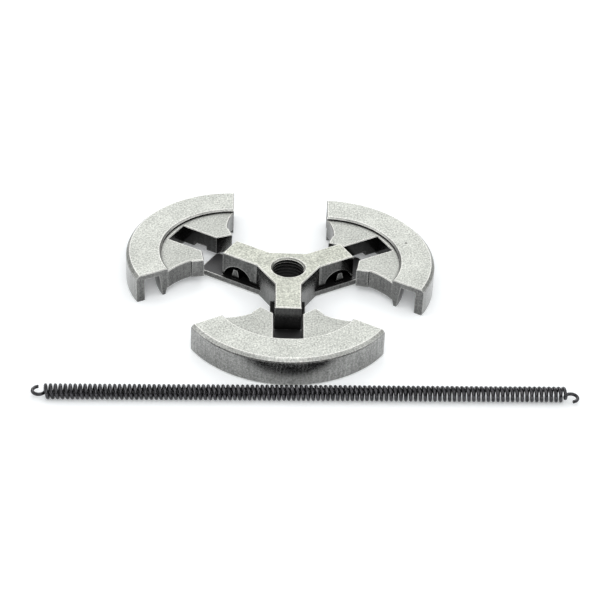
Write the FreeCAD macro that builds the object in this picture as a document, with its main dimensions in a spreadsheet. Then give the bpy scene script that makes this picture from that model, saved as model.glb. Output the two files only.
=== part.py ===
import FreeCAD, Part
import enum
import math
import os

import Sketcher

# Chainsaw clutch: a three-armed spider, three shoes drawn out along its arms and their garter spring.
# Frame: origin on the crankshaft axis at the resting plane, +Z up, the front arm along -Y.

SIZES = {
    # shoe rim, as a section turned about the shoe's own centre
    "rim_radius": 31.0,
    "rim_height": 8.7,
    "rim_chamfer": 1.0,
    "rim_inner_chamfer": 0.5,
    "rim_foot_chamfer": 0.4,
    "rim_outer_wall": 2.65,
    "rim_roof": 1.75,
    "channel_width": 4.5,
    "rib_wall": 1.2,
    "rib_tip_width": 0.9,
    "rib_tip_inset": 0.85,
    "rib_bevel_height": 3.6,
    "rim_half_angle": 61.0,
    "end_outer_reach": 26.5,
    "end_inner_reach": 17.9,
    # shoe web between the rim and the hub
    "web_recess": 1.0,
    "web_underside": 2.1,
    "web_tip_along": 5.4,
    "web_tip_across": 7.7,
    "web_land_along": 2.6,
    "web_land_across": 2.3,
    "scallop_step": 0.45,
    "scallop_radius": 18.0,
    "flare_start": 8.4,
    "slot_end_gap": 0.4,
    "notch_start": 11.8,
    "notch_length": 4.2,
    "notch_height": 1.3,
    "notch_depth": 1.5,
    # spider
    "spider_height": 9.4,
    "arm_width": 7.4,
    "arm_length": 19.4,
    "hub_facet": 7.3,
    "bore_radius": 4.46,
    "bore_chamfer": 0.5,
    "foot_lift": 0.4,
    "foot_ledge": 1.2,
    "toe_length": 26.4,
    "toe_chamfer": 0.8,
    "recess_centre": 14.5,
    "recess_width": 8.8,
    "recess_side": 0.8,
    "recess_arch": 4.6,
    "recess_depth": 2.0,
    "peg_centre": 15.1,
    "peg_base_width": 2.6,
    "peg_top_width": 1.3,
    "peg_height": 2.9,
    "edge_break": 0.25,
    # fits between the shoes and the spider
    "slot_clearance": 0.3,
    "web_clearance": 0.2,
    "toe_clearance": 0.4,
    # how far each shoe is drawn out from its seat on the hub
    "front_pull": 11.4,
    "left_pull": 17.8,
    "right_pull": 12.6,
    # garter spring
    "coil_diameter": 4.35,
    "wire_diameter": 0.95,
    "coil_pitch": 1.308,
    "coil_count": 106,
    "hook_sweep": 270.0,
    "hook_shift": 0.9,
    "spring_gap": 3.4,
    "spring_offset": 5.1,
    "spring_turn": 1.9,
}

ARM_ANGLES = {"front": 270.0, "left": 150.0, "right": 30.0}
LEFT_END = "-1"
RIGHT_END = "1"
LOOP_ANGLES = {LEFT_END: "90", RIGHT_END: "270"}
COIL_SIDES = "12"
WIRE_SIDES = "8"
SAME_PLACE = 1e-4


class Own(enum.IntEnum):
    """A sketch's own axes and origin, by their fixed numbers."""

    ORIGIN = -1
    H_AXIS = -1
    V_AXIS = -2


class Spot(enum.IntEnum):
    """The points of a sketch's edge, by their fixed numbers."""

    START = 1
    END = 2
    CENTRE = 3


def make_sheet(doc):
    """Puts the driving dimensions into a spreadsheet, one aliased cell each."""
    sheet = doc.addObject("Spreadsheet::Sheet", "Sizes")
    for row, (alias, value) in enumerate(SIZES.items(), start=1):
        sheet.set(f"A{row}", alias)
        sheet.set(f"B{row}", str(value))
        sheet.setAlias(f"B{row}", alias)
    doc.recompute()
    return sheet


def new_body(doc, label):
    """Makes an empty body whose label is its node name."""
    body = doc.addObject("PartDesign::Body", label)
    body.Label = label
    return body


def origin_feature(body, role):
    """Returns one of the body's own planes or axes."""
    return next(item for item in body.Origin.OriginFeatures if item.Role == role)


def sketch_on(body, name, role, lift=None):
    """Adds a sketch on one of the body's origin planes, lifted off it where a distance is given."""
    sketch = body.newObject("Sketcher::SketchObject", name)
    sketch.AttachmentSupport = [(origin_feature(body, role), "")]
    sketch.MapMode = "FlatFace"
    if lift:
        sketch.setExpression("AttachmentOffset.Base.z", lift)
    return sketch


def place_point(sketch, edge, end, across, up):
    """Ties one end of an edge to two expressions, measured from the sketch's origin."""
    for kind, axis, text in (("DistanceX", Own.V_AXIS, across), ("DistanceY", Own.H_AXIS, up)):
        if text == "0":
            sketch.addConstraint(Sketcher.Constraint("PointOnObject", edge, end, axis))
            continue
        value = float(sketch.evalExpression(text))
        index = sketch.addConstraint(Sketcher.Constraint(kind, Own.ORIGIN, Spot.START, edge, end, value))
        sketch.setExpression(f"Constraints[{index}]", text)


class Bend:
    """Says that the edge leaving a corner is an arc of this radius, turning left or right."""

    def __init__(self, radius, left):
        self.radius = radius
        self.left = left


def bent_edge(start, end, radius, left):
    """Returns the arc between two points that turns left or right with this radius."""
    chord = end - start
    reach = math.sqrt(radius ** 2 - (chord.Length / 2) ** 2)
    side = FreeCAD.Vector(-chord.y, chord.x, 0).normalize() * (reach if left else -reach)
    centre = (start + end) / 2 + side
    first, last = (start, end) if left else (end, start)
    angles = [math.atan2(point.y - centre.y, point.x - centre.x) for point in (first, last)]
    return Part.ArcOfCircle(Part.Circle(centre, FreeCAD.Vector(0, 0, 1), radius), *angles)


def outline(sketch, corners):
    """Draws a closed outline through pairs of expressions, with a bend as third item where an arc follows."""
    points = [FreeCAD.Vector(sketch.evalExpression(c[0]), sketch.evalExpression(c[1]), 0) for c in corners]
    edges = []
    for k, corner in enumerate(corners):
        following = points[(k + 1) % len(points)]
        if len(corner) == 2:
            line = sketch.addGeometry(Part.LineSegment(points[k], following), False)
            edges.append((line, Spot.START, Spot.END))
            continue
        bend = corner[2]
        radius = sketch.evalExpression(bend.radius)
        arc = sketch.addGeometry(bent_edge(points[k], following, radius, bend.left), False)
        edges.append((arc, Spot.START, Spot.END) if bend.left else (arc, Spot.END, Spot.START))
    for k, (edge, _, end) in enumerate(edges):
        following, start, _ = edges[(k + 1) % len(edges)]
        sketch.addConstraint(Sketcher.Constraint("Coincident", edge, end, following, start))
    for (edge, start, _), corner in zip(edges, corners):
        place_point(sketch, edge, start, corner[0], corner[1])
        if len(corner) == 3:
            radius = sketch.evalExpression(corner[2].radius)
            index = sketch.addConstraint(Sketcher.Constraint("Radius", edge, radius))
            sketch.setExpression(f"Constraints[{index}]", corner[2].radius)


def rectangle(sketch, low_across, high_across, low_up, high_up):
    """Draws a rectangle between four expressions."""
    low_side = [(low_across, low_up), (high_across, low_up)]
    outline(sketch, [*low_side, (high_across, high_up), (low_across, high_up)])


def mirrored(corners):
    """Reflects a list of corners in the sketch's horizontal axis."""
    return [(along, across if across == "0" else f"-({across})") for along, across in corners]


def pad(body, name, sketch, length, both_ways=False):
    """Pads a sketch by an expression's length."""
    feature = body.newObject("PartDesign::Pad", name)
    feature.Profile = sketch
    feature.Midplane = both_ways
    feature.setExpression("Length", length)
    return feature


def pocket_up(body, name, sketch, depth):
    """Cuts a pocket upwards from a sketch by an expression's depth."""
    feature = body.newObject("PartDesign::Pocket", name)
    feature.Profile = sketch
    feature.Reversed = True
    feature.setExpression("Length", depth)
    return feature


def revolve(body, name, sketch, axis, angle):
    """Turns a sketch about one of its own axes, evenly to both sides."""
    feature = body.newObject("PartDesign::Revolution", name)
    feature.Profile = sketch
    feature.ReferenceAxis = (sketch, [axis])
    feature.Midplane = True
    feature.setExpression("Angle", angle)
    return feature


def break_edges(doc, body, name, size, chosen):
    """Chamfers every edge of the body's present shape that the test picks out."""
    doc.recompute()
    base = body.Tip
    edges = [f"Edge{k}" for k, edge in enumerate(base.Shape.Edges, start=1) if chosen(edge)]
    feature = body.newObject("PartDesign::Chamfer", name)
    feature.Base = (base, edges)
    feature.setExpression("Size", size)
    return feature


def lies_at(edge, height):
    """Tells whether an edge lies flat at a height."""
    box = edge.BoundBox
    return abs(box.ZMin - height) < SAME_PLACE and abs(box.ZMax - height) < SAME_PLACE


def is_shoe_top_edge(edge, sizes):
    """Tells whether an edge bounds the web's top away from the rim, or is the top of an end face."""
    if lies_at(edge, sizes.rim_height):
        return isinstance(edge.Curve, Part.Line)
    is_arc = isinstance(edge.Curve, Part.Circle)
    rib_radius = sizes.arm_length + sizes.slot_end_gap + sizes.rib_wall
    at_rim = is_arc and abs(edge.Curve.Radius - rib_radius) < SAME_PLACE
    return lies_at(edge, sizes.rim_height - sizes.web_recess) and not at_rim


def rings_bore(edge, top):
    """Tells whether an edge is a circle on the spider's top or bottom face."""
    return isinstance(edge.Curve, Part.Circle) and (lies_at(edge, 0) or lies_at(edge, top))


SLOT_HALF = "(Sizes.arm_width / 2 + Sizes.slot_clearance)"
SLOT_END = "(Sizes.arm_length + Sizes.slot_end_gap)"
RIB_RADIUS = f"({SLOT_END} + Sizes.rib_wall)"
FOOT_TOP = "(Sizes.web_underside - Sizes.web_clearance)"
FOOT_HALF = "(Sizes.arm_width / 2 + Sizes.foot_ledge)"
CHANNEL_INNER = "(Sizes.rim_radius - Sizes.rim_outer_wall - Sizes.channel_width)"
CHANNEL_OUTER = "(Sizes.rim_radius - Sizes.rim_outer_wall)"
CHANNEL_ROOF = "(Sizes.rim_height - Sizes.rim_roof)"
RIB_TIP_INNER = f"({RIB_RADIUS} + Sizes.rib_tip_inset)"
RIB_TIP_OUTER = f"({RIB_TIP_INNER} + Sizes.rib_tip_width)"
WEB_TOP = "(Sizes.rim_height - Sizes.web_recess)"
END_INNER = f"sqrt({RIB_RADIUS} ^ 2 - Sizes.end_inner_reach ^ 2)"
END_OUTER = "sqrt(Sizes.rim_radius ^ 2 - Sizes.end_outer_reach ^ 2)"
OVERRUN = "1"


def rim_section(body):
    """The rim's section: outer wall, roof over the spring channel and the V-shaped inner rib."""
    sketch = sketch_on(body, "rim_section", "XZ_Plane")
    outline(sketch, [
        (RIB_TIP_INNER, "0"),
        (RIB_TIP_OUTER, "0"),
        (CHANNEL_INNER, CHANNEL_ROOF),
        (CHANNEL_OUTER, CHANNEL_ROOF),
        (CHANNEL_OUTER, "0"),
        ("Sizes.rim_radius - Sizes.rim_foot_chamfer", "0"),
        ("Sizes.rim_radius", "Sizes.rim_foot_chamfer"),
        ("Sizes.rim_radius", "Sizes.rim_height - Sizes.rim_chamfer"),
        ("Sizes.rim_radius - Sizes.rim_chamfer", "Sizes.rim_height"),
        (f"{RIB_RADIUS} + Sizes.rim_inner_chamfer", "Sizes.rim_height"),
        (RIB_RADIUS, "Sizes.rim_height - Sizes.rim_inner_chamfer"),
        (RIB_RADIUS, "Sizes.rib_bevel_height"),
    ])
    return sketch


def web_plan(body):
    """The web's plan: slot for the arm, flared mouth, and on each side a pointed tip and a scalloped edge."""
    sketch = sketch_on(body, "web_plan", "XY_Plane", "Sizes.web_underside")
    land_along = "(Sizes.web_tip_along + Sizes.web_land_along)"
    land_across = "(Sizes.web_tip_across + Sizes.web_land_across)"
    root_along = f"({RIB_TIP_INNER} * cos(Sizes.rim_half_angle))"
    root_across = f"({RIB_TIP_INNER} * sin(Sizes.rim_half_angle))"
    tip = ("Sizes.web_tip_along", "Sizes.web_tip_across")
    mouth = [(SLOT_END, SLOT_HALF), ("Sizes.flare_start", SLOT_HALF), tip]
    land = (land_along, land_across)
    step = (f"({land_along} + Sizes.scallop_step)", land_across)
    end = (END_INNER, "Sizes.end_inner_reach")
    root = (root_along, root_across)
    scallop = Bend("Sizes.scallop_radius", left=True)
    far_side = mirrored([root, end, step, land, *reversed(mouth)])
    far_side[1] = (*far_side[1], scallop)
    along_rib = Bend(RIB_TIP_INNER, left=False)
    outline(sketch, [*mouth, land, (*step, scallop), end, (*root, along_rib), *far_side])
    return sketch


def end_trim(body, reflect):
    """The waste beyond one of the shoe's end faces, seen from above."""
    sketch = sketch_on(body, "end_trim", "XY_Plane")
    outer_along = END_OUTER
    outer_across = "Sizes.end_outer_reach"
    beyond_along = f"({outer_along} + ({outer_along} - {END_INNER}) * {OVERRUN})"
    beyond_across = f"({outer_across} + ({outer_across} - Sizes.end_inner_reach) * {OVERRUN})"
    corners = [
        (END_INNER, "Sizes.end_inner_reach"),
        (beyond_along, beyond_across),
        ("0", beyond_across),
        ("0", "Sizes.end_inner_reach"),
    ]
    outline(sketch, mirrored(corners) if reflect else corners)
    return sketch


def make_shoe(doc, side):
    """One sintered shoe in its own frame, outward along +X, then turned and drawn out along its arm."""
    body = new_body(doc, f"{side}_shoe")
    revolve(body, "rim", rim_section(body), "V_Axis", "2 * Sizes.rim_half_angle")
    pad(body, "web", web_plan(body), f"{WEB_TOP} - Sizes.web_underside")
    for reflect in (False, True):
        pocket_up(body, "end_face", end_trim(body, reflect), "Sizes.rim_height")
    notch = sketch_on(body, "notch_plan", "XY_Plane")
    notch_end = "Sizes.notch_start + Sizes.notch_length"
    notch_reach = f"({SLOT_HALF} + Sizes.notch_depth)"
    rectangle(notch, "Sizes.notch_start", notch_end, f"-{notch_reach}", notch_reach)
    pocket_up(body, "peg_notch", notch, "Sizes.web_underside + Sizes.notch_height")
    passage = sketch_on(body, "passage_plan", "XY_Plane")
    passage_half = f"({FOOT_HALF} + Sizes.toe_clearance)"
    rectangle(passage, SLOT_END, CHANNEL_OUTER, f"-{passage_half}", passage_half)
    pocket_up(body, "toe_passage", passage, "Sizes.web_underside")
    sizes = doc.Sizes
    break_edges(doc, body, "top_edges", "Sizes.edge_break", lambda edge: is_shoe_top_edge(edge, sizes))
    body.setExpression("Placement.Base.x", f"Sizes.{side}_pull * cos({ARM_ANGLES[side]})")
    body.setExpression("Placement.Base.y", f"Sizes.{side}_pull * sin({ARM_ANGLES[side]})")
    body.setExpression("Placement.Rotation.Angle", f"{ARM_ANGLES[side]}")
    return body


def make_spider(doc):
    """The one-piece spider, with its first arm along +X before it is turned to face the shoes."""
    body = new_body(doc, "spider")
    arm_half = "Sizes.arm_width / 2"
    arm_plan = sketch_on(body, "arm_plan", "XY_Plane")
    rectangle(arm_plan, "0", "Sizes.arm_length", f"-{arm_half}", arm_half)
    arm = pad(body, "arm", arm_plan, "Sizes.spider_height")

    arch = sketch_on(body, "recess_arch", "XZ_Plane")
    arch_low = "(Sizes.recess_centre - Sizes.recess_width / 2)"
    arch_high = "(Sizes.recess_centre + Sizes.recess_width / 2)"
    arch_spring = f"({FOOT_TOP} + Sizes.recess_side)"
    outline(arch, [
        (arch_low, FOOT_TOP),
        (arch_high, FOOT_TOP),
        (arch_high, arch_spring, Bend("Sizes.recess_arch", left=True)),
        (arch_low, arch_spring),
    ])
    recess = body.newObject("PartDesign::Pocket", "recess")
    recess.Profile = arch
    recess.Midplane = True
    recess.setExpression("Length", "Sizes.arm_width + 2 * Sizes.slot_clearance")
    core = pad(body, "recess_floor", arch, "Sizes.arm_width - 2 * Sizes.recess_depth", both_ways=True)

    foot_plan = sketch_on(body, "foot_plan", "XY_Plane", "Sizes.foot_lift")
    corner_along = "(Sizes.toe_length - Sizes.toe_chamfer)"
    corner_across = f"({FOOT_HALF} - Sizes.toe_chamfer)"
    outline(foot_plan, [
        ("0", f"-{FOOT_HALF}"),
        (corner_along, f"-{FOOT_HALF}"),
        ("Sizes.toe_length", f"-{corner_across}"),
        ("Sizes.toe_length", corner_across),
        (corner_along, FOOT_HALF),
        ("0", FOOT_HALF),
    ])
    foot = pad(body, "foot", foot_plan, f"{FOOT_TOP} - Sizes.foot_lift")

    peg_side = sketch_on(body, "peg_side", "XZ_Plane")
    peg_top = f"({FOOT_TOP} + Sizes.peg_height)"
    outline(peg_side, [
        ("Sizes.peg_centre - Sizes.peg_base_width / 2", FOOT_TOP),
        ("Sizes.peg_centre + Sizes.peg_base_width / 2", FOOT_TOP),
        ("Sizes.peg_centre + Sizes.peg_top_width / 2", peg_top),
        ("Sizes.peg_centre - Sizes.peg_top_width / 2", peg_top),
    ])
    peg = pad(body, "peg", peg_side, "Sizes.arm_width", both_ways=True)

    arms = body.newObject("PartDesign::PolarPattern", "arms")
    arms.Originals = [arm, recess, core, foot, peg]
    arms.Axis = (origin_feature(body, "Z_Axis"), [""])
    arms.Occurrences = len(ARM_ANGLES)
    body.Tip = arms

    hub_plan = sketch_on(body, "hub_plan", "XY_Plane")
    outline(hub_plan, [
        ("2 * Sizes.hub_facet", "0"),
        ("-Sizes.hub_facet", "Sizes.hub_facet * sqrt(3)"),
        ("-Sizes.hub_facet", "-Sizes.hub_facet * sqrt(3)"),
    ])
    pad(body, "hub", hub_plan, "Sizes.spider_height")
    top = doc.Sizes.spider_height
    break_edges(doc, body, "top_edges", "Sizes.edge_break", lambda edge: lies_at(edge, top))

    bore_plan = sketch_on(body, "bore_plan", "XY_Plane")
    bore_radius = doc.Sizes.bore_radius
    bore_circle = Part.Circle(FreeCAD.Vector(), FreeCAD.Vector(0, 0, 1), bore_radius)
    circle = bore_plan.addGeometry(bore_circle, False)
    bore_plan.addConstraint(Sketcher.Constraint("Coincident", circle, Spot.CENTRE, Own.ORIGIN, Spot.START))
    index = bore_plan.addConstraint(Sketcher.Constraint("Radius", circle, bore_radius))
    bore_plan.setExpression(f"Constraints[{index}]", "Sizes.bore_radius")
    pocket_up(body, "bore", bore_plan, "Sizes.spider_height")
    break_edges(doc, body, "bore_edges", "Sizes.bore_chamfer", lambda edge: rings_bore(edge, top))
    body.setExpression("Placement.Rotation.Angle", f"{ARM_ANGLES['right']}")
    return body


def coil_ring(along, radius):
    """The corners of one many-sided ring of the spring's body, which lies along X."""
    sides = int(COIL_SIDES)
    turns = [2 * math.pi * k / sides for k in range(sides)]
    return [FreeCAD.Vector(along, radius * math.cos(turn), radius * math.sin(turn)) for turn in turns]


def make_coils(doc):
    """The spring's body as a hollow flat-faced tube with one ridge for each close coil."""
    sizes = doc.Sizes
    crest = sizes.coil_diameter / 2
    valley = crest - sizes.wire_diameter / 2
    hollow = crest - sizes.wire_diameter
    start = -sizes.coil_count * sizes.coil_pitch / 2
    rings = [coil_ring(start, hollow), coil_ring(start, valley)]
    for coil in range(int(sizes.coil_count)):
        rings.append(coil_ring(start + (coil + 0.5) * sizes.coil_pitch, crest))
        rings.append(coil_ring(start + (coil + 1) * sizes.coil_pitch, valley))
    rings.append(coil_ring(-start, hollow))
    faces = []
    for ring, following in zip(rings, [*rings[1:], rings[0]]):
        for k in range(len(ring)):
            quad = [ring[k - 1], ring[k], following[k], following[k - 1], ring[k - 1]]
            faces.append(Part.Face(Part.makePolygon(quad)))
    shell = Part.makeShell(faces)
    shell.sewShape()
    coils = doc.addObject("Part::Feature", "coils")
    coils.Shape = Part.makeSolid(shell)
    return coils


def make_hook(doc, end):
    """One end hook: an open loop of wire in the flat, and the bar that joins it to the last coil."""
    mean_radius = "(Sizes.coil_diameter - Sizes.wire_diameter) / 2"
    coil_end = "Sizes.coil_count * Sizes.coil_pitch / 2"
    loop_across = f"-({end}) * Sizes.hook_shift"
    wire = doc.addObject("Part::RegularPolygon", "hook_wire")
    wire.setExpression("Polygon", WIRE_SIDES)
    wire.setExpression("Circumradius", "Sizes.wire_diameter / 2")
    wire.Placement.Rotation = FreeCAD.Rotation(FreeCAD.Vector(0, 0, 1), FreeCAD.Vector(0, 1, 0))
    wire.setExpression("Placement.Base.x", mean_radius)
    loop = doc.addObject("Part::Revolution", "hook_loop")
    loop.Source = wire
    loop.Axis = FreeCAD.Vector(0, 0, 1)
    loop.Solid = True
    loop.setExpression("Angle", "Sizes.hook_sweep")
    loop.setExpression("Placement.Base.x", f"{end} * ({coil_end} + {mean_radius})")
    loop.setExpression("Placement.Base.y", loop_across)
    loop.setExpression("Placement.Rotation.Angle", LOOP_ANGLES[end])
    bar = doc.addObject("Part::Prism", "hook_bar")
    bar.setExpression("Polygon", WIRE_SIDES)
    bar.setExpression("Circumradius", "Sizes.wire_diameter / 2")
    bar.setExpression("Height", f"{mean_radius} - Sizes.hook_shift")
    across = FreeCAD.Vector(0, -int(end), 0)
    bar.Placement.Rotation = FreeCAD.Rotation(FreeCAD.Vector(0, 0, 1), across)
    bar.setExpression("Placement.Base.x", f"{end} * {coil_end}")
    bar.setExpression("Placement.Base.y", loop_across)
    return [loop, bar]


def make_spring(doc):
    """The garter spring lying straight in front of the front shoe, with a hook at each end."""
    spring = doc.addObject("Part::MultiFuse", "garter_spring")
    spring.Shapes = [make_coils(doc), *make_hook(doc, LEFT_END), *make_hook(doc, RIGHT_END)]
    spring.Label = "garter_spring"
    shoe_front = "Sizes.front_pull + Sizes.rim_radius"
    spring.setExpression("Placement.Base.x", "Sizes.spring_offset")
    spring.setExpression("Placement.Base.y", f"-({shoe_front} + Sizes.spring_gap + Sizes.coil_diameter / 2)")
    spring.setExpression("Placement.Base.z", "Sizes.coil_diameter / 2")
    spring.setExpression("Placement.Rotation.Angle", "Sizes.spring_turn")
    return spring


def check_and_export(doc, bodies):
    """Stops on a broken feature, then writes each body to its own STEP file."""
    doc.recompute()
    for item in doc.Objects:
        if {"Invalid", "Error"} & set(item.State):
            raise RuntimeError(f"{item.Label} did not rebuild: {item.State}")
    os.makedirs("parts", exist_ok=True)
    for body in bodies:
        shape = body.Shape
        if shape.isNull() or not shape.isValid() or len(shape.Solids) != 1:
            raise RuntimeError(f"{body.Label} is not one sound solid")
        shape.exportStep(f"parts/{body.Label}.step")
        print(f"{body.Label}: {shape.Volume:.1f} mm3")


def main():
    """Builds the clutch and exports its pieces."""
    doc = FreeCAD.newDocument("clutch")
    make_sheet(doc)
    bodies = [make_spider(doc)]
    bodies += [make_shoe(doc, side) for side in ARM_ANGLES]
    bodies.append(make_spring(doc))
    check_and_export(doc, bodies)


main()
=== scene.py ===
import logging
import math
from dataclasses import dataclass, field
from enum import Enum
from typing import Any, Callable

import bpy
from mathutils import Matrix, Vector


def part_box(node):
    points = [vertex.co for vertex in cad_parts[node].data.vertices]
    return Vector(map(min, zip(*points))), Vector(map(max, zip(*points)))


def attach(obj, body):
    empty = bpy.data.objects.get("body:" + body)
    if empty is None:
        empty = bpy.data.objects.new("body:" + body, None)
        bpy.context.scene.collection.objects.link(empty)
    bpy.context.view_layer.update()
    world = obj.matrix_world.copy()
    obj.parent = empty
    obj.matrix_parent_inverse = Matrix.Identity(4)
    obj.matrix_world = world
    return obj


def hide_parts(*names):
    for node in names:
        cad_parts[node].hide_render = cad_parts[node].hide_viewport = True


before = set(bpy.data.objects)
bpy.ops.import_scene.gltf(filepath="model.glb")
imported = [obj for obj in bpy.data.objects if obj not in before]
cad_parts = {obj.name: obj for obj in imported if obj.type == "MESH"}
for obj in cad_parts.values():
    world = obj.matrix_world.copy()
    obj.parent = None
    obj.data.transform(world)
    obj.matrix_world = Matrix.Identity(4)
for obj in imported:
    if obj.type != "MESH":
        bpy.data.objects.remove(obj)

# Chainsaw clutch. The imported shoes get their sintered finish, the spider gets the thread in its bore as well, and
# the garter spring is wound as real wire with its two end hooks. All of it is in metres, in the solids' frame.

Colour = tuple[float, float, float, float]
Tree = bpy.types.NodeTree
Node = bpy.types.Node
Socket = bpy.types.NodeSocket

LOG = logging.getLogger("clutch")
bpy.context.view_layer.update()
MM = 0.001
# two points closer than this are the same
TOLERANCE = 1e-6
HUB = "hub"

# node settings that are used more than once
BLEND = {"data_type": "RGBA"}
DARKEN = {"data_type": "RGBA", "blend_type": "MULTIPLY"}
SMOOTH = {"interpolation_type": "SMOOTHSTEP"}


class Slot(Enum):
    """The record's material slot names of the spider and the spring; the new pieces build their own finishes
    instead.
    """

    SPIDER = "sintered_steel_spider"
    SPRING = "spring_wire"


class Surface(Enum):
    """The two kinds of sintered surface: pressed by the punch, or rubbed along the die."""

    FACE = "face"
    WALL = "wall"


class End(Enum):
    """The ends of the spring, by their side along X."""

    LEFT = -1
    RIGHT = 1


def linear(hex_colour: str) -> Colour:
    """Turns an sRGB hex colour into linear values.

    Args:
        hex_colour: six hex digits, with or without a leading hash.

    Returns:
        Linear red, green and blue, and an alpha of one.
    """
    digits = hex_colour.lstrip("#")
    channels = [int(digits[k:k + 2], 16) / 255 for k in (0, 2, 4)]
    return (*[c / 12.92 if c <= 0.04045 else ((c + 0.055) / 1.055) ** 2.4 for c in channels], 1.0)


def add_node(
    tree: Tree,
    kind: str,
    settings: dict[str, Any] | None = None,
    inputs: dict[Any, Any] | None = None,
    stops: tuple[tuple[float, Colour], ...] = (),
) -> Node:
    """Adds one node with its settings and links.

    Args:
        tree: the node tree that gets the node.
        kind: the node's Blender type name.
        settings: property values by name.
        inputs: plain values, sockets or nodes, by input name or index. A node stands for its first output in use.
        stops: a colour ramp's positions and linear colours, in rising order.

    Returns:
        The new node.
    """
    node = tree.nodes.new(kind)
    for name, value in (settings or {}).items():
        setattr(node, name, value)
    for index, (position, colour) in enumerate(stops):
        elements = node.color_ramp.elements
        element = elements[index] if index < len(elements) else elements.new(1.0)
        element.position, element.color = position, colour
    for name, value in (inputs or {}).items():
        if isinstance(value, Node):
            value = next(socket for socket in value.outputs if socket.enabled)
        if isinstance(value, Socket):
            tree.links.new(value, node.inputs[name])
        else:
            node.inputs[name].default_value = value
    return node


def new_material(name: str) -> tuple[bpy.types.Material, Tree]:
    """Makes an empty node material.

    Args:
        name: the material's name.

    Returns:
        The material and its node tree.
    """
    material = bpy.data.materials.new(name)
    material.use_nodes = True
    material.node_tree.nodes.clear()
    return material, material.node_tree


def select_only(piece: bpy.types.Object) -> None:
    """Makes one object the only selected and the active one.

    Args:
        piece: the object.
    """
    bpy.ops.object.select_all(action="DESELECT")
    piece.select_set(True)
    bpy.context.view_layer.objects.active = piece


def select_vertices(piece: bpy.types.Object, chosen: Callable[[Vector], bool]) -> None:
    """Selects vertices by place, and leaves the piece in edit mode.

    Args:
        piece: the mesh object, active and in edit mode.
        chosen: says for a vertex's place whether it is picked.
    """
    bpy.ops.mesh.select_mode(type="VERT")
    bpy.ops.mesh.select_all(action="DESELECT")
    bpy.ops.object.mode_set(mode="OBJECT")
    for vertex in piece.data.vertices:
        vertex.select = chosen(vertex.co)
    bpy.ops.object.mode_set(mode="EDIT")


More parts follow.
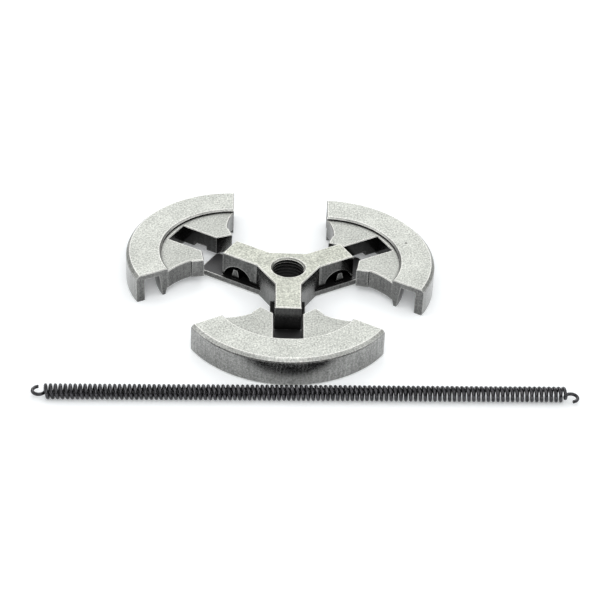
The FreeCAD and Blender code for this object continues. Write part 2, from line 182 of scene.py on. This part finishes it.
@dataclass(frozen=True)
class SinteredSteel:
    """Pressed and sintered steel: matt and finely speckled, pale where the punch pressed it and darker on the walls.

    The powder leaves a speckle of grains and pores, which scatters the light, so the metal shines only softly. The
    walls were rubbed along the die, which leaves them glossier, with faint upright lines; their darker colour is
    painted shade on the upright sides. The walls that run against the drum keep a paler painted reflection, the
    inner walls and those of arms and slots are darkened with painted shade, as are the sunken webs, the low faces
    and the deep places, and the edges get a painted highlight, partly rubbed bright by handling.
    """

    name: str = "sintered steel"
    face: str = "#BEC0BB"
    face_pale: str = "#DFE1DB"
    face_dark: str = "#949691"
    # the walls' colours are darker than the faces' as painted shade on the upright sides
    wall: str = "#959593"
    wall_pale: str = "#B5B5B3"
    wall_dark: str = "#737372"
    # the edges' pale colour, a painted highlight partly rubbed bright by handling
    pale_mark: str = "#F6F6F2"
    # painted shade for the low faces inside, such as the arms' toes between shoe and arm
    low: str = "#5F5F60"
    # painted shade for the deep places
    recess_shade: str = "#303030"
    # the real grain is near 0.1 mm, too fine to be seen from a step away, so it is drawn coarser
    grain: float = 0.48 * MM
    grain_detail: float = 3.0
    grain_span: tuple[float, float] = (0.3, 0.7)
    cloud: float = 7.0 * MM
    cloud_detail: float = 2.0
    cloud_share: float = 0.16
    noise_roughness: float = 0.6
    speckle_stops: tuple[float, float, float] = (0.41, 0.58, 0.75)
    # the die's lines are drawn coarser for the same reason
    drag_width: float = 0.7 * MM
    drag_length: float = 9.0 * MM
    drag_detail: float = 2.0
    drag_share: float = 0.28
    pore_size: float = 1.1 * MM
    pore_span: tuple[float, float] = (0.05, 0.22)
    pore_tone: float = 0.7
    # heights are told from the middle of the clutch, which lies between the low foot and the webs
    middle: float = 4.5 * MM
    low_faces: float = 2.5 * MM
    webs: float = 3.1 * MM
    outer_faces: float = 3.9 * MM
    # the sunken webs are darkened by this share, as painted shade
    web_shade_tone: float = 0.85
    level_span: tuple[float, float] = (0.35, 0.95)
    # drum faces are the walls beyond this radius that look away from the axis
    drum_reach: float = 36.0 * MM
    drum_span: tuple[float, float] = (0.3, 0.6)
    # walls other than the drum faces are darkened to this as painted shade, which leaves the drum faces paler as a
    # painted reflection
    inner_wall_shade: float = 0.57
    # guides are the walls along the arms' middle lines, within this width of them
    arm_angles: tuple[float, ...] = (math.radians(-90), math.radians(30), math.radians(150))
    guide_start: float = 9.0 * MM
    guide_half_width: float = 4.4 * MM
    guide_facing: float = 0.9
    # the guides are darkened to this as painted shade
    guide_shade_tone: float = 0.38
    # an edge is where the rounded normal leaves the true one, told by the cosine between them
    edge_round: float = 0.5 * MM
    edge_samples: int = 6
    edge_span: tuple[float, float] = (0.998, 0.95)
    # edges are lightened as a painted highlight, partly rubbed bright by handling, and less so on the walls
    edge_highlight_gain: float = 2.0
    wall_edge_share: float = 0.25
    # the deep places are darkened with painted shade, found by ambient occlusion
    recess_shade_reach: float = 12.0 * MM
    recess_shade_samples: int = 8
    recess_shade_span: tuple[float, float] = (0.9, 0.5)
    recess_shade_share: float = 0.95
    # the one open pit, on the right shoe's rim
    pit_place: tuple[float, float, float] = (34.1 * MM, 15.0 * MM, 8.7 * MM)
    pit_radius: float = 0.5 * MM
    pit_tone: float = 0.3
    face_roughness: tuple[float, float] = (0.48, 0.62)
    wall_roughness: tuple[float, float] = (0.13, 0.25)
    relief: float = 0.03 * MM
    relief_strength: float = 0.5

    def build(self) -> bpy.types.Material:
        """Makes the material.

        Returns:
            The finished material.
        """
        material, tree = new_material(self.name)
        place = add_node(tree, "ShaderNodeTexCoord").outputs["Object"]
        normal = add_node(tree, "ShaderNodeNewGeometry").outputs["True Normal"]
        upward = add_node(tree, "ShaderNodeSeparateXYZ", inputs={"Vector": normal}).outputs["Z"]
        grain, cloud = [
            add_node(
                tree, "ShaderNodeTexNoise",
                inputs={"Vector": place, "Scale": 1 / size, "Detail": detail, "Roughness": self.noise_roughness},
            )
            for size, detail in ((self.grain, self.grain_detail), (self.cloud, self.cloud_detail))
        ]
        speckle = add_node(
            tree, "ShaderNodeMath", {"operation": "MULTIPLY_ADD"}, {0: cloud, 1: self.cloud_share, 2: grain},
        )
        flatness = add_node(tree, "ShaderNodeMath", {"operation": "ABSOLUTE"}, {0: upward})
        level = add_node(
            tree, "ShaderNodeMapRange", SMOOTH,
            {"Value": flatness, "From Min": self.level_span[0], "From Max": self.level_span[1]},
        )
        wall = self.wall_tone(tree, place, normal, speckle)
        face = self.face_tone(tree, place, upward, speckle)
        # walls take the darker wall colours here, as painted shade on the upright sides
        tone = add_node(tree, "ShaderNodeMix", BLEND, {0: level, 6: wall, 7: face})
        bump = add_node(
            tree, "ShaderNodeBump",
            inputs={"Height": speckle, "Strength": self.relief_strength, "Distance": self.relief},
        )
        shader = add_node(
            tree, "ShaderNodeBsdfPrincipled",
            inputs={
                "Base Color": self.weather(tree, place, level, speckle, tone), "Metallic": 1.0,
                "Roughness": self.sheen(tree, level, grain), "Normal": bump,
            },
        )
        add_node(tree, "ShaderNodeOutputMaterial", inputs={"Surface": shader})
        return material

    def speckled(self, tree: Tree, speckle: Node, surface: Surface) -> Node:
        """Gives the speckled colours of the faces or of the walls.

        Args:
            tree: the material's nodes.
            speckle: the grain's noise.
            surface: which of the two.

        Returns:
            The colour.
        """
        colours = {
            Surface.FACE: (self.face_dark, self.face, self.face_pale),
            Surface.WALL: (self.wall_dark, self.wall, self.wall_pale),
        }[surface]
        stops = tuple(zip(self.speckle_stops, map(linear, colours)))
        return add_node(tree, "ShaderNodeValToRGB", inputs={"Fac": speckle}, stops=stops)

    def face_tone(self, tree: Tree, place: Socket, upward: Socket, speckle: Node) -> Node:
        """Colours the level faces: pale on the outside, greyer on the sunken webs, dark on the low faces inside.

        Args:
            tree: the material's nodes.
            place: the place on the piece.
            upward: the upward part of the face's direction.
            speckle: the grain's noise.

        Returns:
            The colour.
        """
        side = add_node(tree, "ShaderNodeMath", {"operation": "SIGN"}, {0: upward})
        height = add_node(tree, "ShaderNodeSeparateXYZ", inputs={"Vector": place}).outputs["Z"]
        above = add_node(tree, "ShaderNodeMath", {"operation": "SUBTRACT"}, {0: height, 1: self.middle})
        # how far the face stands out on the side that it faces, negative where it looks inwards
        outward = add_node(tree, "ShaderNodeMath", {"operation": "MULTIPLY"}, {0: above, 1: side})
        # the sunken webs are darkened here as painted shade
        sunken_shade = add_node(
            tree, "ShaderNodeMapRange", inputs={
                "Value": outward, "From Min": self.webs, "From Max": self.outer_faces, "To Min": self.web_shade_tone,
            },
        )
        # the low faces inside take the dark low colour here, as painted shade
        clear_of_low_shade = add_node(
            tree, "ShaderNodeMapRange",
            inputs={"Value": outward, "From Min": self.low_faces, "From Max": self.webs},
        )
        pale = self.speckled(tree, speckle, Surface.FACE)
        toned = add_node(tree, "ShaderNodeMix", DARKEN, {0: 1.0, 6: pale, 7: sunken_shade})
        return add_node(tree, "ShaderNodeMix", BLEND, {0: clear_of_low_shade, 6: linear(self.low), 7: toned})

    def wall_tone(self, tree: Tree, place: Socket, normal: Socket, speckle: Node) -> Node:
        """Colours the walls, with the speckle drawn out into the faint upright lines that the die leaves.

        Args:
            tree: the material's nodes.
            place: the place on the piece.
            normal: the wall's direction.
            speckle: the grain's noise.

        Returns:
            The colour.
        """
        stretched = add_node(
            tree, "ShaderNodeVectorMath", {"operation": "MULTIPLY"},
            {0: place, 1: (1.0, 1.0, self.drag_width / self.drag_length)},
        )
        lines = add_node(
            tree, "ShaderNodeTexNoise", inputs={
                "Vector": stretched, "Scale": 1 / self.drag_width, "Detail": self.drag_detail,
                "Roughness": self.noise_roughness,
            },
        )
        dragged = add_node(tree, "ShaderNodeMix", inputs={0: self.drag_share, 2: speckle, 3: lines})
        tone = self.speckled(tree, dragged, Surface.WALL)
        # the inner walls and the guides are darkened with painted shade
        for amount in (self.drum_light_inner_shade(tree, place, normal), self.guides(tree, place, normal)):
            tone = add_node(tree, "ShaderNodeMix", DARKEN, {0: 1.0, 6: tone, 7: amount})
        return tone

    def drum_light_inner_shade(self, tree: Tree, place: Socket, normal: Socket) -> Node:
        """Keeps the walls that face the drum pale, as a painted reflection, and darkens the inner ones with painted
        shade.

        Args:
            tree: the material's nodes.
            place: the place on the piece.
            normal: the wall's direction.

        Returns:
            One on the walls that run against the drum, lower on all others.
        """
        flat = add_node(
            tree, "ShaderNodeVectorMath", {"operation": "MULTIPLY"}, {0: place, 1: (1.0, 1.0, 0.0)},
        )
        reach = add_node(tree, "ShaderNodeVectorMath", {"operation": "LENGTH"}, {0: flat})
        away = add_node(tree, "ShaderNodeVectorMath", {"operation": "NORMALIZE"}, {0: flat})
        facing = add_node(tree, "ShaderNodeVectorMath", {"operation": "DOT_PRODUCT"}, {0: away, 1: normal})
        far = add_node(tree, "ShaderNodeMath", {"operation": "GREATER_THAN"}, {0: reach, 1: self.drum_reach})
        drum = add_node(tree, "ShaderNodeMath", {"operation": "MULTIPLY"}, {0: far, 1: facing})
        return add_node(
            tree, "ShaderNodeMapRange", inputs={
                "Value": drum, "From Min": self.drum_span[0], "From Max": self.drum_span[1],
                "To Min": self.inner_wall_shade,
            },
        )

    def guides(self, tree: Tree, place: Socket, normal: Socket) -> Node:
        """Gives the painted shade of the guides, the walls of arms and slots that slide on each other.

        Args:
            tree: the material's nodes.
            place: the place on the piece.
            normal: the wall's direction.

        Returns:
            Low on the guides, one elsewhere.
        """
        found: Any = 0.0
        for angle in self.arm_angles:
            along = (math.cos(angle), math.sin(angle), 0.0)
            across = (-math.sin(angle), math.cos(angle), 0.0)
            reach, offset, facing = [
                add_node(tree, "ShaderNodeVectorMath", {"operation": "DOT_PRODUCT"}, {0: first, 1: second})
                for first, second in ((place, along), (place, across), (normal, across))
            ]
            distance, square = [
                add_node(tree, "ShaderNodeMath", {"operation": "ABSOLUTE"}, {0: part}) for part in (offset, facing)
            ]
            here: Any = 1.0
            for test, value, limit in (
                ("GREATER_THAN", reach, self.guide_start),
                ("LESS_THAN", distance, self.guide_half_width),
                ("GREATER_THAN", square, self.guide_facing),
            ):
                passed = add_node(tree, "ShaderNodeMath", {"operation": test}, {0: value, 1: limit})
                here = add_node(tree, "ShaderNodeMath", {"operation": "MULTIPLY"}, {0: passed, 1: here})
            found = add_node(tree, "ShaderNodeMath", {"operation": "MAXIMUM"}, {0: here, 1: found})
        return add_node(
            tree, "ShaderNodeMapRange", inputs={"Value": found, "To Min": 1.0, "To Max": self.guide_shade_tone},
        )

    def weather(self, tree: Tree, place: Socket, level: Node, speckle: Node, tone: Node) -> Node:
        """Adds to the bare tone its pores, the painted highlight on the edges, partly rubbed bright by handling, the
        painted shade in deep places, and the open pit, in that order.

        Args:
            tree: the material's nodes.
            place: the place on the piece.
            level: one on level faces and zero on walls.
            speckle: the grain's noise.
            tone: the bare metal's colour.

        Returns:
            The finished colour.
        """
        spread = add_node(tree, "ShaderNodeTexVoronoi", inputs={"Vector": place, "Scale": 1 / self.pore_size})
        pores = add_node(
            tree, "ShaderNodeMapRange", inputs={
                "Value": spread, "From Min": self.pore_span[0], "From Max": self.pore_span[1],
                "To Min": self.pore_tone,
            },
        )
        distance = add_node(
            tree, "ShaderNodeVectorMath", {"operation": "DISTANCE"}, {0: place, 1: self.pit_place},
        )
        pit = add_node(
            tree, "ShaderNodeMapRange", inputs={
                "Value": distance, "From Min": self.pit_radius / 2, "From Max": self.pit_radius,
                "To Min": self.pit_tone,
            },
        )
        pored = add_node(tree, "ShaderNodeMix", DARKEN, {0: 1.0, 6: tone, 7: pores})
        # edges lightened as a painted highlight, partly rubbed bright by handling
        pale_mark = add_node(
            tree, "ShaderNodeMix", BLEND, {0: self.edge_highlight_and_wear(tree, speckle, level), 6: pored, 7: linear(self.pale_mark)},
        )
        # deep places darkened with painted shade
        recess_shaded = add_node(tree, "ShaderNodeMix", BLEND, {0: self.painted_recess_shade(tree), 6: pale_mark, 7: linear(self.recess_shade)})
        return add_node(tree, "ShaderNodeMix", DARKEN, {0: 1.0, 6: recess_shaded, 7: pit})

    def edge_highlight_and_wear(self, tree: Tree, speckle: Node, level: Node) -> Node:
        """Finds the edges that get a painted highlight, partly rubbed bright by handling.

        Args:
            tree: the material's nodes.
            speckle: the grain's noise, which breaks the line up.
            level: one on level faces and zero on walls, whose edges are lightened less.

        Returns:
            The share of the painted highlight.
        """
        flat = add_node(tree, "ShaderNodeNewGeometry").outputs["Normal"]
        rounded = add_node(tree, "ShaderNodeBevel", {"samples": self.edge_samples}, {"Radius": self.edge_round})
        agree = add_node(tree, "ShaderNodeVectorMath", {"operation": "DOT_PRODUCT"}, {0: flat, 1: rounded})
        edge = add_node(
            tree, "ShaderNodeMapRange", inputs={
                "Value": agree, "From Min": self.edge_span[0], "From Max": self.edge_span[1],
                "To Max": self.edge_highlight_gain,
            },
        )
        broken = add_node(
            tree, "ShaderNodeMath", {"operation": "MULTIPLY", "use_clamp": True}, {0: edge, 1: speckle},
        )
        amount = add_node(tree, "ShaderNodeMapRange", inputs={"Value": level, "To Min": self.wall_edge_share})
        return add_node(tree, "ShaderNodeMath", {"operation": "MULTIPLY"}, {0: broken, 1: amount})

    def painted_recess_shade(self, tree: Tree) -> Node:
        """Finds the deep places, which get painted shade.

        Args:
            tree: the material's nodes.

        Returns:
            The share of painted shade.
        """
        openness = add_node(
            tree, "ShaderNodeAmbientOcclusion", {"samples": self.recess_shade_samples, "only_local": True},
            {"Distance": self.recess_shade_reach},
        ).outputs["AO"]
        return add_node(
            tree, "ShaderNodeMapRange", SMOOTH, {
                "Value": openness, "From Min": self.recess_shade_span[0], "From Max": self.recess_shade_span[1],
                "To Max": self.recess_shade_share,
            },
        )

    def sheen(self, tree: Tree, level: Node, grain: Node) -> Node:
        """Gives the roughness, which follows the grain and is lower on the rubbed walls.

        Args:
            tree: the material's nodes.
            level: one on level faces and zero on walls.
            grain: the grain's noise.

        Returns:
            The roughness.
        """
        smooth, rough = [
            add_node(tree, "ShaderNodeMapRange", inputs={"Value": level, "To Min": wall, "To Max": face})
            for wall, face in zip(self.wall_roughness, self.face_roughness)
        ]
        return add_node(
            tree, "ShaderNodeMapRange", inputs={
                "Value": grain, "From Min": self.grain_span[0], "From Max": self.grain_span[1],
                "To Min": smooth, "To Max": rough,
            },
        )


@dataclass(frozen=True)
class SpringWire:
    """Hard-drawn spring steel: dark, oiled and smooth, with a soft shine and faint paler patches from rubbing."""

    name: str = "hard-drawn spring steel"
    body: str = "#333335"
    pale_mark: str = "#636265"
    patch: float = 1.2 * MM
    patch_detail: float = 4.0
    patch_roughness: float = 0.6
    patch_stops: tuple[float, float] = (0.35, 0.75)
    patch_span: tuple[float, float] = (0.3, 0.7)
    roughness: tuple[float, float] = (0.1, 0.22)
    relief: float = 0.01 * MM
    relief_strength: float = 0.4

    def build(self) -> bpy.types.Material:
        """Makes the material.

        Returns:
            The finished material.
        """
        material, tree = new_material(self.name)
        place = add_node(tree, "ShaderNodeTexCoord").outputs["Object"]
        patches = add_node(
            tree, "ShaderNodeTexNoise", inputs={
                "Vector": place, "Scale": 1 / self.patch, "Detail": self.patch_detail,
                "Roughness": self.patch_roughness,
            },
        )
        stops = tuple(zip(self.patch_stops, (linear(self.body), linear(self.pale_mark))))
        colour = add_node(tree, "ShaderNodeValToRGB", inputs={"Fac": patches}, stops=stops)
        rough = add_node(
            tree, "ShaderNodeMapRange", inputs={
                "Value": patches, "From Min": self.patch_span[0], "From Max": self.patch_span[1],
                "To Min": self.roughness[0], "To Max": self.roughness[1],
            },
        )
        bump = add_node(
            tree, "ShaderNodeBump",
            inputs={"Height": patches, "Strength": self.relief_strength, "Distance": self.relief},
        )
        shader = add_node(
            tree, "ShaderNodeBsdfPrincipled",
            inputs={"Base Color": colour, "Metallic": 1.0, "Roughness": rough, "Normal": bump},
        )
        add_node(tree, "ShaderNodeOutputMaterial", inputs={"Surface": shader})
        return material


@dataclass(frozen=True)
class FloorPaper:
    """Matt white studio paper, which shows as white to the eye and in reflections, and keeps the shadows."""

    name: str = "white studio paper"
    paper: str = "#F4F6F7"
    roughness: float = 0.5
    glow: float = 0.22

    def build(self) -> bpy.types.Material:
        """Makes the material.

        Returns:
            The finished material.
        """
        material, tree = new_material(self.name)
        rays = add_node(tree, "ShaderNodeLightPath").outputs
        seen: Any = rays["Is Camera Ray"]
        for kind in ("Is Glossy Ray", "Is Transmission Ray"):
            seen = add_node(tree, "ShaderNodeMath", {"operation": "MAXIMUM"}, {0: seen, 1: rays[kind]})
        strength = add_node(tree, "ShaderNodeMath", {"operation": "MULTIPLY"}, {0: seen, 1: self.glow})
        white = linear(self.paper)
        paper = add_node(tree, "ShaderNodeBsdfDiffuse", inputs={"Color": white, "Roughness": self.roughness})
        glow = add_node(tree, "ShaderNodeEmission", inputs={"Color": white, "Strength": strength})
        both = add_node(tree, "ShaderNodeAddShader", inputs={0: paper, 1: glow})
        add_node(tree, "ShaderNodeOutputMaterial", inputs={"Surface": both})
        return material


@dataclass
class Shoes:
    """The three sintered shoes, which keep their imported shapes."""

    nodes: tuple[str, ...] = ("front_shoe", "left_shoe", "right_shoe")
    finish: SinteredSteel = field(default_factory=lambda: SinteredSteel("sintered shoe steel"))

    def dress(self) -> list[bpy.types.Object]:
        """Puts the finish on each shoe.

        Returns:
            The dressed shoes.
        """
        material = self.finish.build()
        shoes = [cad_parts[name] for name in self.nodes]
        for shoe in shoes:
            shoe.data.materials.clear()
            shoe.data.materials.append(material)
        return shoes


@dataclass
class Spider:
    """The sintered spider with the crankshaft thread cut into its bore."""

    thread_major: float = 5.0 * MM
    pitch: float = 1.0 * MM
    height: float = 9.4 * MM
    # the tooth stays a little narrower than the pitch, so that the cutter's turns don't touch
    tooth_share: float = 0.96
    overrun_turns: int = 1
    steps_per_turn: int = 48
    smooth_angle: float = math.radians(30)
    finish: SinteredSteel = field(
        default_factory=lambda: SinteredSteel(
            "sintered spider steel", face="#B8BAB1", face_pale="#DADCD2", face_dark="#90928A", guide_shade_tone=0.68,
        ),
    )

    def thread_cutter(self) -> bpy.types.Object:
        """Makes the cutter: a sixty-degree tooth swept up a helix past both ends of the bore.

        Returns:
            The closed cutter.
        """
        tooth = self.tooth_share * self.pitch / math.sqrt(3)
        turns = self.height / self.pitch + 2 * self.overrun_turns
        bpy.ops.object.select_all(action="DESELECT")
        bpy.ops.mesh.primitive_circle_add(
            vertices=3, radius=tooth,
            location=(self.thread_major - tooth, 0, -self.overrun_turns * self.pitch),
            rotation=(math.pi / 2, math.pi / 2, 0),
        )
        cutter = bpy.context.object
        bpy.ops.object.transform_apply(location=True, rotation=True, scale=True)
        bpy.ops.object.modifier_add(type="SCREW")
        screw = cutter.modifiers[-1]
        screw.axis = "Z"
        screw.angle = 2 * math.pi * turns
        screw.screw_offset = self.pitch * turns
        screw.steps = round(self.steps_per_turn * turns)
        screw.render_steps = screw.steps
        bpy.ops.object.modifier_apply(modifier=screw.name)
        bpy.ops.object.mode_set(mode="EDIT")
        bpy.ops.mesh.select_all(action="SELECT")
        bpy.ops.mesh.remove_doubles(threshold=TOLERANCE)
        bpy.ops.mesh.fill_holes(sides=4)
        bpy.ops.mesh.select_all(action="SELECT")
        bpy.ops.mesh.normals_make_consistent(inside=False)
        bpy.ops.object.mode_set(mode="OBJECT")
        return cutter

    def build(self) -> bpy.types.Object:
        """Cuts the thread into a merged copy of the spider's mesh.

        Returns:
            The finished spider.
        """
        piece = bpy.data.objects.new("threaded_spider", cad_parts["spider"].data.copy())
        bpy.context.scene.collection.objects.link(piece)
        select_only(piece)
        bpy.ops.mesh.customdata_custom_splitnormals_clear()
        bpy.ops.object.mode_set(mode="EDIT")
        bpy.ops.mesh.select_all(action="SELECT")
        bpy.ops.mesh.remove_doubles(threshold=TOLERANCE)
        bpy.ops.object.mode_set(mode="OBJECT")
        cutter = self.thread_cutter()
        select_only(piece)
        bpy.ops.object.modifier_add(type="BOOLEAN")
        cut = piece.modifiers[-1]
        cut.operation = "DIFFERENCE"
        cut.solver = "EXACT"
        cut.object = cutter
        bpy.ops.object.modifier_apply(modifier=cut.name)
        bpy.data.objects.remove(cutter)
        bpy.ops.object.shade_smooth_by_angle(angle=self.smooth_angle)
        self.dress(piece)
        return piece

    def dress(self, piece: bpy.types.Object) -> None:
        """Puts the finish on the spider, and sets it in its body.

        Args:
            piece: the threaded spider.
        """
        piece.data.materials.clear()
        piece.data.materials.append(self.finish.build())
        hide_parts("spider")
        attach(piece, HUB)


@dataclass
class GarterSpring:
    """The close-wound garter spring with a hook at each end, lying straight."""

    coil_diameter: float = 4.35 * MM
    wire_diameter: float = 0.95 * MM
    body_length: float = 138.65 * MM
    coils: int = 106
    turn: float = math.radians(1.9)
    wire_sides: int = 12
    steps_per_turn: int = 26
    lead_angle: float = math.radians(20)
    bend_radius: float = 0.75 * MM
    bend_steps: int = 7
    loop_radius: float = 1.7 * MM
    loop_sweep: float = math.radians(265)
    loop_steps: int = 30
    tip_round: float = 0.12 * MM
    tip_segments: int = 2
    # how far from the wire's centre its last ring is looked for, in wire diameters
    ring_reach: float = 0.6
    finish: SpringWire = field(default_factory=SpringWire)

    @property
    def mean_radius(self) -> float:
        """The radius of the wire's centre line."""
        return (self.coil_diameter - self.wire_diameter) / 2

    @property
    def turns(self) -> float:
        """The number of turns, so that both ends stand at the lead angle, on opposite sides."""
        return self.coils + 0.5 - self.lead_angle / math.pi

    def wind(self) -> bpy.types.Object:
        """Winds the body: a wire section swept about X by the screw modifier.

        Returns:
            The wound body, centred on the origin.
        """
        bpy.ops.object.select_all(action="DESELECT")
        bpy.ops.mesh.primitive_circle_add(vertices=self.wire_sides, radius=self.wire_diameter / 2)
        piece = bpy.context.object
        piece.name = "garter_spring_wire"
        bpy.ops.object.mode_set(mode="EDIT")
        bpy.ops.mesh.select_all(action="SELECT")
        bpy.ops.transform.translate(value=(-self.body_length / 2, self.mean_radius, 0))
        bpy.ops.object.mode_set(mode="OBJECT")
        bpy.ops.object.modifier_add(type="SCREW")
        screw = piece.modifiers[-1]
        screw.axis = "X"
        screw.angle = 2 * math.pi * self.turns
        screw.screw_offset = self.body_length
        screw.steps = round(self.turns * self.steps_per_turn)
        screw.render_steps = screw.steps
        screw.use_merge_vertices = False
        bpy.ops.object.modifier_apply(modifier=screw.name)
        piece.rotation_euler.x = self.lead_angle
        bpy.ops.object.transform_apply(location=False, rotation=True, scale=False)
        return piece

    def hook(self, piece: bpy.types.Object, end: End) -> None:
        """Bends one end of the wire inwards and rolls it into a flat open loop.

        Args:
            piece: the wound body.
            end: which end.
        """
        side = end.value
        axis_end = Vector((side * self.body_length / 2, 0.0, 0.0))
        radial = Vector((0.0, -side * math.cos(self.lead_angle), math.sin(self.lead_angle)))
        along = Vector((0.0, radial.z, -radial.y))
        last = axis_end + self.mean_radius * radial
        select_only(piece)
        bpy.ops.object.mode_set(mode="EDIT")
        # the wire's last ring lies in one plane, and the next coil is a whole wire away
        select_vertices(
            piece,
            lambda spot: (spot - last).length < self.ring_reach * self.wire_diameter
            and abs((spot - last).dot(along)) < TOLERANCE,
        )
        bend_centre = axis_end + (self.mean_radius - self.bend_radius) * radial
        bpy.ops.mesh.spin(
            steps=self.bend_steps, angle=math.pi / 2 + self.lead_angle, center=bend_centre, axis=(-side, 0, 0),
        )
        loop_centre = bend_centre + Vector((side * self.loop_radius, 0.0, -self.bend_radius))
        bpy.ops.mesh.spin(
            steps=self.loop_steps, angle=self.loop_sweep, center=loop_centre, axis=(0, 0, 1),
        )
        bpy.ops.mesh.edge_face_add()
        bpy.ops.mesh.bevel(offset=self.tip_round, segments=self.tip_segments, affect="EDGES")
        bpy.ops.mesh.select_all(action="SELECT")
        bpy.ops.mesh.remove_doubles(threshold=TOLERANCE)
        bpy.ops.mesh.normals_make_consistent(inside=False)
        bpy.ops.object.mode_set(mode="OBJECT")

    def build(self) -> bpy.types.Object:
        """Makes the whole spring in its place.

        Returns:
            The finished spring.
        """
        piece = self.wind()
        for end in End:
            self.hook(piece, end)
        low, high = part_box("garter_spring")
        place = Matrix.Translation((low + high) / 2) @ Matrix.Rotation(self.turn, 4, "Z")
        piece.data.transform(place)
        bpy.ops.object.shade_smooth()
        self.dress(piece)
        return piece

    def dress(self, piece: bpy.types.Object) -> None:
        """Puts the finish on the spring, and sets it in its body.

        Args:
            piece: the wound spring.
        """
        piece.data.materials.append(self.finish.build())
        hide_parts("garter_spring")
        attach(piece, HUB)


@dataclass(frozen=True)
class PhotoCamera:
    """The camera, as fitted to the photograph's 600 by 600 pixels."""

    focal_px: float = 2102.07
    image_px: float = 600.0
    sensor: float = 36.0
    distance: float = 0.6
    elevation: float = math.radians(35.5)
    azimuth: float = math.radians(-1.382)
    roll: float = math.radians(-2.422)
    aim_right: float = math.radians(0.349)
    aim_down: float = math.radians(0.154)

    def build(self) -> None:
        """Makes the camera and sets it as the scene's."""
        back = Vector((
            math.sin(self.azimuth) * math.cos(self.elevation),
            -math.cos(self.azimuth) * math.cos(self.elevation),
            math.sin(self.elevation),
        ))
        ahead = -back
        level = Vector((math.cos(self.azimuth), math.sin(self.azimuth), 0.0))
        drop = ahead.cross(level)
        right = math.cos(self.roll) * level + math.sin(self.roll) * drop
        down = -math.sin(self.roll) * level + math.cos(self.roll) * drop
        right_aimed = math.cos(self.aim_right) * right - math.sin(self.aim_right) * ahead
        ahead_right = math.sin(self.aim_right) * right + math.cos(self.aim_right) * ahead
        down_aimed = math.cos(self.aim_down) * down - math.sin(self.aim_down) * ahead_right
        ahead_aimed = math.sin(self.aim_down) * down + math.cos(self.aim_down) * ahead_right
        turn = Matrix((right_aimed, -down_aimed, -ahead_aimed)).transposed().to_4x4()
        data = bpy.data.cameras.new("photo_camera")
        data.sensor_width = self.sensor
        data.lens = self.focal_px / self.image_px * self.sensor
        camera = bpy.data.objects.new("photo_camera", data)
        bpy.context.scene.collection.objects.link(camera)
        camera.matrix_world = Matrix.Translation(back * self.distance) @ turn
        bpy.context.scene.camera = camera


@dataclass(frozen=True)
class Softbox:
    """One square lamp of the studio, aimed at the clutch."""

    name: str
    place: tuple[float, float, float]
    size: float
    power: float

    def build(self) -> None:
        """Hangs the lamp."""
        data = bpy.data.lights.new(self.name, "AREA")
        data.shape = "SQUARE"
        data.size = self.size
        data.energy = self.power
        lamp = bpy.data.objects.new(self.name, data)
        bpy.context.scene.collection.objects.link(lamp)
        lamp.location = self.place
        lamp.rotation_mode = "QUATERNION"
        lamp.rotation_quaternion = (-Vector(self.place)).to_track_quat("-Z", "Y")


@dataclass
class Studio:
    """White floor, soft lamps all round and a plain soft surround."""

    floor_size: float = 4.0
    floor_drop: float = 0.05 * MM
    surround: str = "#FFFFFF"
    ambient: float = 0.3
    lamps: tuple[Softbox, ...] = (
        Softbox("back_softbox", place=(0.0, 0.75, 0.68), size=0.9, power=4.7),
        Softbox("left_softbox", place=(-0.75, 0.0, 0.68), size=0.7, power=2.3),
        Softbox("right_softbox", place=(0.75, 0.0, 0.68), size=0.7, power=2.1),
        Softbox("front_softbox", place=(0.0, -0.75, 0.68), size=0.9, power=4.2),
        Softbox("overhead_softbox", place=(0.0, 0.0, 1.0), size=0.6, power=1.0),
    )
    paper: FloorPaper = field(default_factory=FloorPaper)

    def build(self) -> None:
        """Lays the floor, hangs the lamps and lights the surround."""
        bpy.ops.object.select_all(action="DESELECT")
        bpy.ops.mesh.primitive_plane_add(size=self.floor_size, location=(0, 0, -self.floor_drop))
        floor = bpy.context.object
        floor.name = "studio_floor"
        floor.data.materials.append(self.paper.build())
        for lamp in self.lamps:
            lamp.build()
        self.light_surround()

    def light_surround(self) -> None:
        """Makes the world one plain soft light."""
        world = bpy.data.worlds.new("studio_surround")
        bpy.context.scene.world = world
        world.use_nodes = True
        tree = world.node_tree
        tree.nodes.clear()
        background = add_node(
            tree, "ShaderNodeBackground", inputs={"Color": linear(self.surround), "Strength": self.ambient},
        )
        add_node(tree, "ShaderNodeOutputWorld", inputs={"Surface": background})


def main() -> None:
    """Builds the scene in order, and reports each piece."""
    logging.basicConfig(level=logging.INFO)
    bpy.context.scene.view_settings.view_transform = "Standard"
    PhotoCamera().build()
    Studio().build()
    for piece in (*Shoes().dress(), Spider().build(), GarterSpring().build()):
        LOG.info("%s: %d faces, %s", piece.name, len(piece.data.polygons), piece.data.materials[0].name)


if __name__ == "__main__":
    main()
